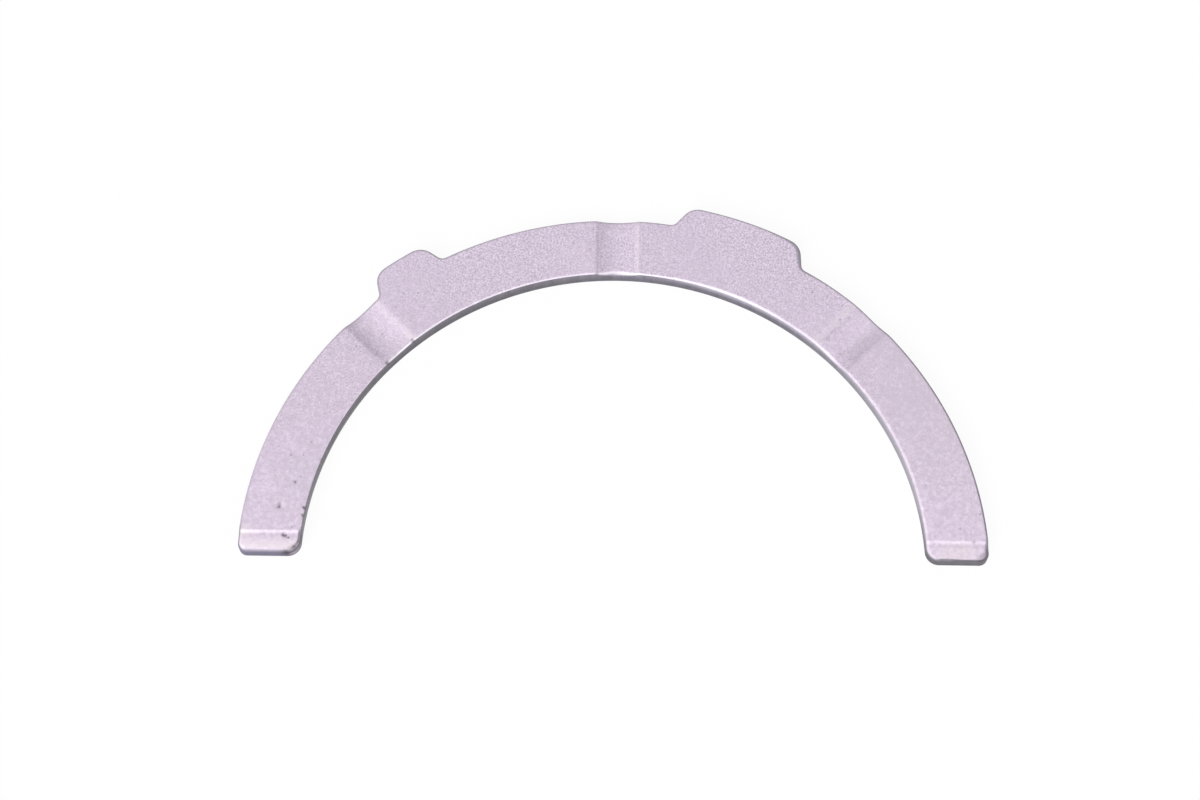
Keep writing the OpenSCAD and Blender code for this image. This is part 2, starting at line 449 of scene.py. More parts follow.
# Camera of the photograph, in the part's frame, with the reach of its view in m
CAMERA_ELEVATION = 67.928
CAMERA_AZIMUTH = 1.5
CAMERA_ROLL = -0.617
CAMERA_DISTANCE = 254.87
CAMERA_TARGET = (-1.5735, 18.099, 0.0)
CAMERA_CLIP = (0.01, 20.0)
FOCAL_PX = 2445.4
IMAGE_W = 1200
SENSOR = 36.0


# Plain geometry

def polar(r, degrees):
    a = np.radians(degrees)
    return np.stack([r * np.cos(a), r * np.sin(a)], -1)


def turned(p, degrees):
    c, s = math.cos(math.radians(degrees)), math.sin(math.radians(degrees))
    return p @ np.array([[c, s], [-s, c]])


def arc(centre, r, start, stop):
    n = max(MIN_ARC_PARTS, int(abs(math.radians(stop - start)) * r / FINE))
    return np.asarray(centre) + polar(r, np.linspace(start, stop, n + 1))


def line(p, q):
    n = max(MIN_LINE_PARTS, int(np.linalg.norm(np.subtract(q, p)) / FINE))
    return np.linspace(p, q, n + 1)


def direction(p):
    return math.degrees(math.atan2(p[1], p[0]))


def angles(p):
    return np.degrees(np.arctan2(p[:, 1], p[:, 0]))


def radii(p):
    return np.hypot(p[:, 0], p[:, 1])


def distance(p, place):
    return np.hypot(p[:, 0] - place[0], p[:, 1] - place[1])


def smooth(x):
    """0 up to 0, 1 from 1 on, and a smooth rise between them."""
    x = np.clip(x, 0, 1)
    return x * x * (3 - 2 * x)


def near(x, width):
    """1 at 0, fading on both sides over a width."""
    return np.exp(-((x / width) ** 2))


def band(x, low, rise, high, fall):
    """1 between low and high, rising and falling over the given lengths."""
    return smooth((x - low) / rise) * smooth((high - x) / fall)


def waves(x, rows):
    """Sum of sine waves, each given by its height, its rate and its phase."""
    return sum(height * np.sin(rate * x + phase) for height, rate, phase in rows)


def by_side(p, sides):
    """The left or the right value of a size, by the side on which each point lies."""
    return np.where(p[:, 0] < 0, sides["left"], sides["right"])


# Outline

def tab_points(width, angle):
    """Outline of one tab with its root fillets, and half of the angle that it takes up on the rim."""
    lean = math.radians(TAB_FLANK)
    normal = np.array([math.sin(lean), math.cos(lean)])
    run = np.array([math.cos(lean), -math.sin(lean)])
    foot = np.array([math.sqrt(RIM_R**2 - width**2 / 4), width / 2])

    def beside(out, radius):
        start = foot + out * normal
        b = start @ run
        return start + (math.sqrt(b * b - start @ start + radius**2) - b) * run

    flip = np.array([1, -1])
    root = beside(TAB_ROOT_R, RIM_R + TAB_ROOT_R)
    tip = beside(-TAB_CORNER_R, TAB_TIP_R - TAB_CORNER_R)
    root_a, tip_a, flank_a = direction(root), direction(tip), 90 - TAB_FLANK
    first_root = arc(root * flip, TAB_ROOT_R, 180 - root_a, 180 - flank_a)
    first_corner = arc(tip * flip, TAB_CORNER_R, -flank_a, -tip_a)
    second_corner = arc(tip, TAB_CORNER_R, tip_a, flank_a)
    second_root = arc(root, TAB_ROOT_R, flank_a - 180, root_a - 180)
    points = [
        first_root,
        line(first_root[-1], first_corner[0]),
        first_corner,
        arc((0, 0), TAB_TIP_R, -tip_a, tip_a),
        second_corner,
        line(second_corner[-1], second_root[0]),
        second_root,
    ]
    return turned(np.concatenate(points), angle), root_a


def outline():
    """Fine closed outline, anticlockwise, with the share of rim, end and bore edge at each point."""
    flip = np.array([-1, 1])

    def corner(radius, r):
        y = END_GAP + r
        return np.array([math.sqrt(radius**2 - y**2), y])

    left_r, right_r = END_RIM_CORNER_R["left"], END_RIM_CORNER_R["right"]
    left_c, right_c = corner(RIM_R - left_r, left_r), corner(RIM_R - right_r, right_r)
    bore_c = corner(BORE_R + END_BORE_CORNER_R, END_BORE_CORNER_R)
    left_a, right_a, bore_a = direction(left_c), direction(right_c), direction(bore_c)
    large, large_half = tab_points(**LARGE_TAB)
    small, small_half = tab_points(**SMALL_TAB)
    left_end, right_end, bore_end = (np.array([c[0], END_GAP]) for c in (left_c, right_c, bore_c))
    spans = [
        (arc(right_c, right_r, -90, right_a), END, RIM),
        (arc((0, 0), RIM_R, right_a, LARGE_TAB["angle"] - large_half), RIM, RIM),
        (large, RIM, RIM),
        (arc((0, 0), RIM_R, LARGE_TAB["angle"] + large_half, SMALL_TAB["angle"] - small_half), RIM, RIM),
        (small, RIM, RIM),
        (arc((0, 0), RIM_R, SMALL_TAB["angle"] + small_half, 180 - left_a), RIM, RIM),
        (arc(left_c * flip, left_r, 180 - left_a, 270), RIM, END),
        (line(left_end * flip, bore_end * flip), END, END),
        (arc(bore_c * flip, END_BORE_CORNER_R, 270, 360 - bore_a), END, BORE),
        (arc((0, 0), BORE_R, 180 - bore_a, bore_a), BORE, BORE),
        (arc(bore_c, END_BORE_CORNER_R, 180 + bore_a, 270), BORE, END),
        (line(bore_end, right_end), END, END),
    ]
    points = np.concatenate([p for p, _, _ in spans])
    share = np.concatenate([np.linspace(a, b, len(p)) for p, a, b in spans])
    keep = np.linalg.norm(points - np.roll(points, 1, 0), axis=1) > SAME_POINT
    return points[keep], share[keep]


def outline_spacing(points, share, turn):
    """Spacing that the mesh needs along the outline at each of its points."""
    step = np.where(turn > SHARP_TURN, TURN_STEP, OUTLINE_STEP)
    from_lip = np.abs(np.abs(groove_across(points)) - GROOVE_HALF).min(1)
    step -= LIP_FINER * near(from_lip, LIP_FINER_REACH) * (step > LIP_FINER_LIMIT)
    from_step = points[:, 1] - by_side(points, RELIEF_START) + RELIEF_STEP / 2
    step = np.minimum(step, OUTLINE_STEP - RELIEF_FINER * near(from_step, RELIEF_FINER_REACH))
    _, _, on_bore = share.T
    nicked = np.clip(bore_nicks(points)[0] * NICK_FINER_GAIN, 0, 1) * on_bore
    return np.minimum(step, OUTLINE_STEP - NICK_FINER * nicked)


def resampled(points, share):
    """Outline with points as dense as each stretch needs, its inward normals and the edge shares."""
    after = np.roll(points, -1, 0)
    tangent = after - np.roll(points, 1, 0)
    tangent /= np.linalg.norm(tangent, axis=1)[:, None]
    normal = np.stack([-tangent[:, 1], tangent[:, 0]], 1)
    length = np.linalg.norm(after - points, axis=1)
    turn = np.abs(np.cross(tangent, np.roll(tangent, -1, 0))) / length
    count = np.concatenate([[0], np.cumsum(length / outline_spacing(points, share, turn))])
    at = np.linspace(0, count[-1], int(count[-1]) + 1)[:-1]

    def pick(values):
        closed = np.concatenate([values, values[:1]])
        return np.stack([np.interp(at, count, closed[:, k]) for k in range(closed.shape[1])], 1)

    normal = pick(normal)
    return pick(points), normal / np.linalg.norm(normal, axis=1)[:, None], pick(share)


# Running face

def groove_across(p):
    """Distance of each point from the middle line of each groove, positive on its left side."""
    a = np.radians(GROOVE_ANGLES)
    across = p[:, 1:2] * np.cos(a) - p[:, :1] * np.sin(a)
    along = p[:, :1] * np.cos(a) + p[:, 1:2] * np.sin(a)
    return np.where(along > 0, across, FAR)


def groove_depth(p):
    """Depth of the grooves with softened lips, and how close each point is to a groove's middle line."""
    across = groove_across(p)
    u = across / GROOVE_HALF
    u = np.where(np.abs(u) < 1, u - GROOVE_SKEW * (1 - u * u), u)
    r = radii(p)[:, None]
    kept = 1 - (1 - GROOVE_AT_RIM) * smooth((r - RIM_R + AT_RIM_FADE) / AT_RIM_FADE)
    kept = kept * (1 - (1 - GROOVE_AT_BORE) * smooth((BORE_R + AT_BORE_FADE - r) / AT_BORE_FADE))
    raw = np.maximum(GROOVE_DEPTH * kept * (1 - np.abs(u) ** GROOVE_POWER), -SECTION_CUT)
    right, left = GROOVE_STEP.T
    step = right + (left - right) * smooth((across + GROOVE_HALF) / (2 * GROOVE_HALF))
    step = step * smooth((GROOVE_HALF - np.abs(across)) / GROOVE_STEP_FADE)
    depth = (0.5 * (raw + np.sqrt(raw**2 + GROOVE_LIP**2)) + step).max(1)
    return depth, near(across, GROOVE_HALF).max(1)


def pit_bumps(p):
    """How far each point lies in each pit."""
    return np.stack([near(distance(p, (x, y)), radius) for x, y, radius, _ in PITS], 1)


def face_height(p):
    """Height of the running face, before the rounding of its edges."""
    depth, middle = groove_depth(p)
    runout = RUNOUT_DIP * smooth((radii(p) - RIM_R + RUNOUT_LEN) / RUNOUT_LEN)
    runout = runout * middle * (p[:, 0] < RUNOUT_MAX_X)
    start = by_side(p, RELIEF_START)
    foot = start - RELIEF_STEP_LEN
    step = RELIEF_STEP * smooth((start - p[:, 1]) / RELIEF_STEP_LEN)
    floor = (RELIEF_DEPTH - RELIEF_STEP) * np.clip((foot - p[:, 1]) / (foot - END_GAP), 0, 1)
    pits = pit_bumps(p) @ PIT_DEPTHS
    return THICKNESS - depth - runout - step - floor - pits


def flank_shade(p):
    """How dark the painted shade on the steep side of the right groove is at each point."""
    return FLANK_SHADE * band(groove_across(p)[:, RIGHT], *FLANK_SHADE_ACROSS) * band(radii(p), *FLANK_SHADE_ALONG)


def torn_lip(p):
    """How dark the ragged upper lip of the right groove is at each point."""
    r = radii(p)
    patchy = 1 - TORN_LIP_PATCHES[0] + waves(r, [TORN_LIP_PATCHES])
    off_line = groove_across(p)[:, RIGHT] - TORN_LIP_AT - waves(r, TORN_LIP_WAVES)
    return TORN_LIP * near(off_line, TORN_LIP_WIDTH) * patchy * band(r, *TORN_LIP_ALONG)


def shaded_corner(p):
    """How dark each point is outside the round that ends the lining at the right end's outer corner."""
    x, y = p[:, 0] - SHADED_CENTRE[0], p[:, 1] - SHADED_CENTRE[1]
    outside = SHADED * smooth((np.hypot(x, y) - SHADED_R) / SHADED_FADE)
    return outside * smooth((x - SHADED_X_START) / SHADED_X_FADE) * smooth(-y / SHADED_Y_FADE)


def face_marks_and_shade(p):
    """How dark each point of the face is: pits, painted shade at the feet of the relief steps, on the steep
    side of the right groove and at the right end's outer corner, and the torn lip of the right groove.
    """
    pits = (pit_bumps(p) * np.minimum(1, PIT_DEPTHS / PIT_DARK_DEPTH)).max(1)
    step_foot = by_side(p, RELIEF_START) - RELIEF_STEP_LEN - STEP_SHADE_BELOW
    foot = STEP_SHADE * near(p[:, 1] - step_foot, STEP_SHADE_REACH)
    return np.max([pits, foot, flank_shade(p), torn_lip(p), shaded_corner(p)], axis=0)


def coined(p):
    """How far each point is pressed smooth and pale, with painted highlights on the lit side of the left
    groove and on the middle groove's lit lip.
    """
    foot = by_side(p, RELIEF_START) - RELIEF_STEP_LEN
    floor = smooth((foot - p[:, 1]) / COINED_FLOOR_FADE) * by_side(p, COINED_FLOOR)
    across = groove_across(p)
    groove = COINED_GROOVE * smooth((GROOVE_HALF - np.abs(across[:, LEFT])) / COINED_GROOVE_FADE)
    at_bore = smooth((BORE_R + GROOVE_SIDE_HIGHLIGHT_FADE - radii(p)) / GROOVE_SIDE_HIGHLIGHT_FADE)
    # Painted highlight on the lit right side of the left groove
    side = near(across[:, LEFT] - GROOVE_SIDE_HIGHLIGHT_AT, GROOVE_SIDE_HIGHLIGHT_REACH)
    groove = groove + side * (GROOVE_SIDE_HIGHLIGHT + GROOVE_SIDE_HIGHLIGHT_BORE * at_bore)
    # Pale lips, the middle groove's one a painted highlight
    lips = [pale * near(across[:, g] - at, reach) for g, at, reach, pale in PALE_LIPS]
    step_end = STEP_END_PALE * near(distance(p, STEP_END), STEP_END_REACH)
    return np.max([floor, groove, *lips, step_end], axis=0)


# Edges

def bore_nicks(p):
    """Extra edge width and darkness of the nicks at each point."""
    at, extra, dark = np.array(NICKS).T
    bump = near(np.radians(angles(p)[:, None] - at) * BORE_R, NICK_LEN)
    return bump @ extra, bump @ dark


def bore_edge(p):
    """Width, power and brightness of the bore edge, the brightness setting its painted highlight, and how
    far a groove's runout rounds it.
    """
    width, power, bright = (np.interp(angles(p), BORE_EDGE[:, 0], BORE_EDGE[:, k]) for k in (1, 2, 3))
    runout = near(groove_across(p), RUNOUT_REACH)
    waver = waves(np.arctan2(p[:, 1], p[:, 0]), BORE_WAVES)
    width = width * (1 + waver) + (BORE_RUNOUT * runout).max(1)
    rounded = (runout * RUNOUT_STEEL).max(1)
    return width, power + (RUNOUT_POWER - power) * rounded, bright, rounded


def rolled_corner(p):
    """1 at the rolled-over corner of the large tab, fading to 0 along the rim."""
    return near(distance(p, ROLLED_CORNER), ROLLED_REACH)


def near_tip(p):
    """1 at the tips of the half ring, fading to 0 above the reliefs."""
    return smooth((by_side(p, RELIEF_START) + TIP_ABOVE - p[:, 1]) / TIP_FADE)


def left_corner(p, share):
    """How far each outline point lies in the rounded inner corner of the left end."""
    _, on_end, on_bore = share.T
    return 2 * on_end * on_bore * (p[:, 0] < 0)


def burred(p, share):
    """How strongly the inner corner of the left end, and the end wall at its foot, is torn and dark."""
    _, on_end, on_bore = share.T
    waver = 1 - BURR_WAVER + BURR_WAVER * np.sin(BURR_WAVES["y"] * p[:, 1] + BURR_WAVES["x"] * p[:, 0])
    leg = on_bore * smooth((BURR_TOP - p[:, 1]) / BURR_FADE) * (p[:, 0] < 0)
    foot = on_end * near(p[:, 0] - BURR_FOOT_X, BURR_FOOT_REACH)
    return np.clip(leg + left_corner(p, share), 0, 1) * waver, foot


def edge_shape(p, share):
    """Width and power of the rounded upper edge at each outline point."""
    rim = RIM_ROLL + (TIP_ROLL - RIM_ROLL) * near_tip(p) + ROLLED_EXTRA * rolled_corner(p)
    end = by_side(p, END_ROLL)
    for at, extra, reach in END_BULGES:
        end = end + extra * near(p[:, 0] - at, reach)
    bore, bore_power, _, _ = bore_edge(p)
    bore = bore + BURR_WIDTH * smooth((BURR_TOP - p[:, 1]) / BURR_FADE) * (p[:, 0] < 0)
    on_rim, on_end, on_bore = share.T
    width = on_rim * rim + on_end * end + on_bore * (bore + bore_nicks(p)[0])
    power = (on_rim + on_end) * ROUND_POWER + on_bore * bore_power
    return width, power


def edge_masks(p, share, s):
    """Bare steel, and the burnished chamfer with its painted highlight, along the ring at a share s of the
    edge's width.
    """
    tip = near_tip(p) * (p[:, 0] < 0)
    reach = RIM_STEEL["reach"] + RIM_STEEL["rolled"] * rolled_corner(p) + RIM_STEEL["tip"] * tip
    # Steel line along the rim, its strength by angle partly painted shade
    rim = np.interp(angles(p), *RIM_LINE.T) * smooth((reach - s) / RIM_STEEL["fade"])
    _, _, bright, runout = bore_edge(p)
    reach = BORE_STEEL["reach"] + BORE_STEEL["runout"] * runout
    bore = smooth((reach - s) / (BORE_STEEL["fade"] + BORE_STEEL["runout_fade"] * runout))
    right_end = smooth((RIGHT_END_STEEL["reach"] - s) / RIGHT_END_STEEL["fade"])
    end = by_side(p, {"left": 1 - s, "right": right_end})
    on_rim, on_end, on_bore = share.T
    steel = on_rim * rim + on_end * end + on_bore * bore
    # Painted highlight on the burnished bore edge and along the rim of the left tip
    bare = on_bore * bright * smooth((1 - s) / BRIGHT_FADE)
    bare = bare + TIP_BRIGHT * on_rim * tip * band(s, *TIP_BRIGHT_BAND)
    return steel, bare


# Mesh

def even_points(step):
    """Points spread evenly over the half ring and its tabs."""
    r = np.arange(BORE_R, TAB_TIP_R, step)
    a = np.degrees(np.arange(0, math.pi, step / GRID_R))
    return polar(*[g.ravel() for g in np.meshgrid(r, a)])


def groove_points(angle):
    """Points in one groove, close together across its lips."""
    floor = np.arange(0.0, GROOVE_HALF - ROW_GAP, GROOVE_FLOOR_STEP)
    half = np.concatenate([floor, GROOVE_HALF + LIP_ROWS])
    across = np.concatenate([-half[:0:-1], half])
    along = np.arange(BORE_R - GROOVE_PAST_BORE, RIM_R, GROOVE_ALONG_STEP)
    u, v = [q.ravel() for q in np.meshgrid(across, along)]
    return turned(np.stack([v, u], 1), angle)


def tip_points(side, start):
    """Points at one end, close together across the step of its relief."""
    rows = np.concatenate([np.arange(END_GAP, start - ROW_GAP, TIP_FLOOR_STEP), start + STEP_ROWS])
    x, y = [q.ravel() for q in np.meshgrid(np.arange(BORE_R, RIM_R, TIP_ACROSS_STEP), rows)]
    return np.stack([side * x, y], 1)


def face_points():
    """Points inside the running face: fine at grooves, reliefs and pits, even elsewhere."""
    even = even_points(FACE_STEP)
    even = even[(np.abs(groove_across(even)).min(1) > GROOVE_CLEAR) & (even[:, 1] > TIP_CLEAR)]
    grooves = [groove_points(angle) for angle in GROOVE_ANGLES]
    tips = [tip_points(-1, RELIEF_START["left"]), tip_points(1, RELIEF_START["right"])]
    points = np.concatenate([even] + grooves + tips)
    for x, y, radius, _ in PITS:
        points = points[distance(points, (x, y)) > PIT_CLEAR * radius]
    for x, y, radius, _ in PITS:
        rings = [polar(radius * share, PIT_ANGLES) + (x, y) for share in PIT_RINGS]
        points = np.concatenate([points, [(x, y)]] + rings)
    return points


def inside(points, ring, normals, margin):
    """Which points lie inside a ring by more than a margin."""
    keep = np.zeros(len(points), bool)
    for i in range(0, len(points), BATCH):
        part = points[i : i + BATCH]
        nearest = ((part[:, None] - ring[None]) ** 2).sum(2).argmin(1)
        off = part - ring[nearest]
        inward = (off * normals[nearest]).sum(1) > 0
        keep[i : i + BATCH] = inward & (np.linalg.norm(off, axis=1) > margin)
    return keep


def filled(ring, extra):
    """Triangles that fill a ring with extra points inside it."""
    n = len(ring)
    points = [Vector(p) for p in np.concatenate([ring, extra])]
    edges = [(i, (i + 1) % n) for i in range(n)]
    verts, _, faces, origin, _, _ = delaunay_2d_cdt(points, edges, [], 1, FILL_TOLERANCE)
    out = []
    for f in faces:
        a, b, c = (verts[i] for i in f)
        ids = [origin[i][0] for i in f]
        out.append(ids if (b - a).cross(c - a) > 0 else ids[::-1])
    return out


class Skin:
    """Points, faces and masks of a closed surface that is built from rings of equal length."""

    def __init__(self, ring_length):
        self.n = ring_length
        self.points, self.faces = [], []
        self.masks = {name: [] for name in MASKS}

    def add(self, p, z, **values):
        """Adds points with their heights and masks, and gives the index of the first."""
        first = sum(len(v) for v in self.points)
        self.points.append(np.column_stack([p, np.broadcast_to(z, len(p))]))
        for name, mask in self.masks.items():
            mask.append(np.broadcast_to(values.get(name, 0.0), len(p)))
        return first

    def strip(self, low, high):
        """Joins two rings by a strip of faces."""
        i = np.arange(self.n)
        j = (i + 1) % self.n
        self.faces.extend(np.stack([low + i, low + j, high + j, high + i], 1).tolist())

    def cap(self, first, ring, base, extra, order=1):
        """Closes a ring over extra points inside it, with its faces looking up, or down at order -1."""
        for f in filled(ring, extra):
            self.faces.append([first + i if i < self.n else base + i - self.n for i in f[::order]])

    def mesh(self, name):
        mesh = bpy.data.meshes.new(name)
        mesh.from_pydata((np.concatenate(self.points) * MM).tolist(), [], self.faces)
        for mask_name, mask in self.masks.items():
            attribute = mesh.attributes.new(mask_name, "FLOAT", "POINT")
            attribute.data.foreach_set("value", np.concatenate(mask))
        mesh.polygons.foreach_set("use_smooth", np.ones(len(mesh.polygons), bool))
        mesh.set_sharp_from_angle(angle=math.radians(SHARP_ANGLE))
        return mesh


def on(s, spot):
    """How strong a mark is at a share s of an edge or wall, by its place and reach there."""
    return near(s - spot[0], spot[1])


def add_face(skin, ring, normal, share):
    """Adds the rounded upper edge and the running face, and gives the index of the outermost ring."""
    width, power = edge_shape(ring, share)
    _, _, on_bore = share.T
    nicked = bore_nicks(ring)[1] * on_bore
    burr, foot = burred(ring, share)
    # Painted shade on the large tab's rolled-over corner
    rolled_shade = ROLLED_SHADE * rolled_corner(ring)
    rings = []
    for s in RING_STEPS:
        p = ring + normal * (width * s)[:, None]
        drop = width * (1 - (1 - (1 - s) ** power) ** (1 / power))
        steel, bare = edge_masks(ring, share, s)
        # Dark marks and painted shade of the face and its upper edge
        marks = [
            face_marks_and_shade(p),
            nicked,
            burr * on(s, BURR_ON_EDGE),
            foot * on(s, FOOT_ON_EDGE),
            rolled_shade * on(s, ROLLED_SHADE_ON_EDGE),
        ]
        soil = np.max(marks, axis=0)
        height = face_height(p) - drop
        rings.append(skin.add(p, height, steel=steel, bare=bare, soil=soil, coined=coined(p)))
    p = ring + normal * (width + FLAT_RING)[:, None]
    rings.append(skin.add(p, face_height(p), soil=face_marks_and_shade(p), coined=coined(p)))
    for low, high in zip(rings, rings[1:]):
        skin.strip(low, high)
    middle = face_points()
    middle = middle[inside(middle, p, normal, FACE_MARGIN)]
    base = skin.add(middle, face_height(middle), soil=face_marks_and_shade(middle), coined=coined(middle))
    skin.cap(rings[-1], p, base, middle)
    return rings[0]


def add_wall(skin, above, ring, share):
    """Adds the wall below the outermost ring, and gives the index of its lowest ring."""
    top = skin.points[0][:, 2]
    burr, foot = burred(ring, share)
    for s in WALL_STEPS:
        ridge = left_corner(ring, share) * on(s, RIDGE_ON_WALL)
        torn = WALL_BURR * burr * on(s, BURR_ON_WALL)
        soil = np.maximum(torn, WALL_FOOT * foot * on(s, FOOT_ON_WALL))
        row = skin.add(ring, top + (EDGE_BREAK - top) * s, steel=1 - ridge, soil=soil)
        skin.strip(row, above)
        above = row
    return above


def add_back(skin, above, ring, normal):
    """Adds the broken lower edge and the back."""
    for inset, z in BACK_STEPS:
        p = ring + normal * inset
        row = skin.add(p, z, steel=1.0, back=float(z == 0))
        skin.strip(row, above)
        above = row
    back = even_points(BACK_STEP)
    back = back[inside(back, p, normal, BACK_MARGIN)]
    base = skin.add(back, 0.0, steel=1.0, back=1.0)
    skin.cap(above, p, base, back, -1)


def build_washer():
    """The washer as one closed mesh."""
    ring, normal, share = resampled(*outline())
    skin = Skin(len(ring))
    upper = add_face(skin, ring, normal, share)
    lower = add_wall(skin, upper, ring, share)
    add_back(skin, lower, ring, normal)
    body = bpy.data.objects.new("washer_body", skin.mesh("washer_body"))
    bpy.context.collection.objects.link(body)
    return body


# Materials

def srgb(colour):
    """Linear colour from 8-bit sRGB values."""
    shares = (v / 255 for v in colour)
    return tuple(v / 12.92 if v <= 0.04045 else ((v + 0.055) / 1.055) ** 2.4 for v in shares) + (1.0,)


class Nodes:
    """Short calls for building a node tree."""

    def __init__(self, tree):
        self.tree = tree
        tree.nodes.clear()

    def add(self, kind, inputs=(), **settings):
        node = self.tree.nodes.new(kind)
        for key, value in settings.items():
            setattr(node, key, value)
        for key, value in dict(inputs).items():
            if isinstance(value, bpy.types.NodeSocket):
                self.tree.links.new(value, node.inputs[key])
            else:
                node.inputs[key].default_value = value
        return node

    def math(self, operation, *values):
        return self.add("ShaderNodeMath", dict(enumerate(values)), operation=operation).outputs[0]

    def times(self, product, *others):
        for other in others:
            product = self.math("MULTIPLY", product, other)
        return product

    def ramp(self, value, low, high):
        return self.add("ShaderNodeMapRange", {"Value": value, "From Min": low, "From Max": high}).outputs[0]

    def mix(self, factor, a, b):
        node = self.add("ShaderNodeMix", {"Factor": factor, "A": a, "B": b}, data_type="RGBA")
        return node.outputs["Result"]

    def noise(self, vector, scale, detail, roughness):
        inputs = {"Vector": vector, "Scale": scale, "Detail": detail, "Roughness": roughness}
        return self.add("ShaderNodeTexNoise", inputs).outputs["Fac"]

    def stretched(self, vector, scale):
        return self.add("ShaderNodeMapping", {"Vector": vector, "Scale": scale}).outputs[0]


class Surface(Nodes):
    """Node tree of the washer's material, with its masks, places and patterns."""

    def __init__(self, tree):
        super().__init__(tree)
        self.at = self.add("ShaderNodeTexCoord").outputs["Object"]
        self.axes = self.add("ShaderNodeSeparateXYZ", {0: self.at}).outputs
        self.grain = self.noise(self.at, *GRAIN)
        self.streak = self.noise(self.stretched(self.at, STREAK_STRETCH), *STREAK)
        self.upright = self.noise(self.stretched(self.at, UPRIGHT_STRETCH), *UPRIGHT)
        cells = self.add("ShaderNodeTexVoronoi", {"Vector": self.at, "Scale": SPECK_SCALE}).outputs
        specked = self.level(cells["Color"], "specked cell")
        self.speck = self.times(self.level(cells["Distance"], "speck"), specked)

    def mask(self, name):
        return self.add("ShaderNodeAttribute", attribute_name=name).outputs["Fac"]

    def place(self, name):
        axis, low, high = PLACES[name]
        return self.ramp(self.axes[axis], low, high)

    def level(self, pattern, name):
        return self.ramp(pattern, *LEVELS[name])

    def between(self, factor, low, high):
        return self.mix(factor, srgb(TONES[low]), srgb(TONES[high]))

    def tint(self, base, name, *masks):
        """A colour with a tint mixed in by the product of some masks."""
        colour, strength = TINTS[name]
        return self.mix(self.times(*masks, strength), base, srgb(colour))


def lining_colour(n):
    """Lining: paler down the legs as a painted falloff of light and smoother there, with grain, mottle,
    blotches, streaks and specks.
    """
    blotch, patch, mottle = (n.noise(n.at, *pattern) for pattern in (BLOTCH, PATCH, MOTTLE))
    # Painted falloff of light: paler down the legs, darker at the top
    plain = n.between(n.place("top"), "leg", "top")
    plain = n.tint(plain, "pale blotch", n.level(blotch, "pale blotch"))
    plain = n.tint(plain, "pink patch", n.level(patch, "pink patch"))
    plain = n.tint(plain, "blue patch", n.level(patch, "blue patch"))
    grainy = n.between(n.level(n.grain, "grain"), "dark grain", "pale grain")
    lining = n.mix(n.times(n.place("grainy"), n.level(patch, "grainy patch")), plain, grainy)
    legs = n.place("legs")
    lining = n.tint(lining, "dark mottle", n.level(mottle, "dark mottle"), legs)
    lining = n.tint(lining, "pale mottle", n.level(mottle, "pale mottle"), legs)
    lining = n.tint(lining, "streak", n.level(n.streak, "streak"))
    lining = n.tint(lining, "speck", n.speck)
    lining = n.tint(lining, "warm leg", n.place("right leg"), n.place("above the tip"))
    off_corners = n.times(n.place("off the bore corner"), n.place("off the rim corner"))
    lining = n.tint(lining, "warm end", off_corners, n.place("relief floor"))
    # Pressed pale places and painted highlights in the grooves
    lining = n.tint(lining, "coined", n.mask("coined"))
    # Burnished bore edge with its painted highlight
    return n.tint(lining, "bare", n.mask("bare"))


def wall_colour(n):
    """Sheared steel wall: upright marks, a darker torn band below, and paler or darker stretches, with
    painted light on the bore walls of the right leg and low on the walls of the left leg.
    """
    marks = n.level(n.upright, "upright")
    wall = n.between(marks, "dark wall", "pale wall")
    wall = n.mix(n.place("torn band"), wall, n.between(marks, "dark torn wall", "pale torn wall"))
    wall = n.tint(wall, "left wall", n.place("left wall"))
    squares = (n.math("POWER", n.axes[axis], 2.0) for axis in "XY")
    bore_side = n.ramp(n.math("SQRT", n.math("ADD", *squares)), *BORE_SIDE)
    wall = n.tint(wall, "lit wall", n.place("lit side"), n.place("lit band"), bore_side)
    bore_leg = n.times(bore_side, n.place("bore leg"))
    # Painted light on the bore walls of the right leg
    wall = n.tint(wall, "lit leg wall", n.place("lit leg side"), bore_leg)
    # Painted light low on the walls of the left leg
    lit_lower = n.times(n.place("lit lower side"), n.place("lit lower band"), bore_leg)
    low = n.times(n.place("low side"), n.place("low band"), bore_side, n.place("low leg"))
    wall = n.tint(wall, "lit lower wall", n.math("MAXIMUM", lit_lower, low))
    tip = n.place("tip")
    wall = n.tint(wall, "end wall", tip)
    return n.tint(wall, "blued end", tip, n.place("blued side"))


def back_colour(n):
    """Plain back: bare steel with streaks and specks."""
    plain = n.between(n.level(n.streak, "back"), "dark back", "pale back")
    return n.tint(plain, "back speck", n.speck)


def lined_strip():
    """Material of the washer: lining on the face, bare steel on the walls and the back."""
    material = bpy.data.materials.new("lined_strip")
    material.use_nodes = True
    n = Surface(material.node_tree)
    steel = n.mask("steel")
    metal = n.mix(n.mask("back"), wall_colour(n), back_colour(n))
    # Dark marks and painted shade over the lining and the steel
    colour = n.tint(n.mix(steel, lining_colour(n), metal), "soil", n.mask("soil"))
    relief = n.math("ADD", n.times(n.grain, BUMP_GRAIN), n.times(n.streak, BUMP_STREAK))
    relief = n.math("ADD", relief, n.times(n.upright, steel, BUMP_UPRIGHT))
    bump = n.add("ShaderNodeBump", {"Height": relief, "Strength": BUMP_STRENGTH, "Distance": BUMP_HEIGHT})
    shader = n.add("ShaderNodeBsdfPrincipled", {
        "Base Color": colour,
        "Metallic": n.ramp(steel, *METALLIC_RANGE),
        "Roughness": n.ramp(n.grain, *ROUGHNESS_RANGE),
        "Normal": bump.outputs["Normal"],
        "Specular IOR Level": SPECULAR,
    })
    n.add("ShaderNodeOutputMaterial", {"Surface": shader.outputs["BSDF"]})
    return material


# Floor, light and camera

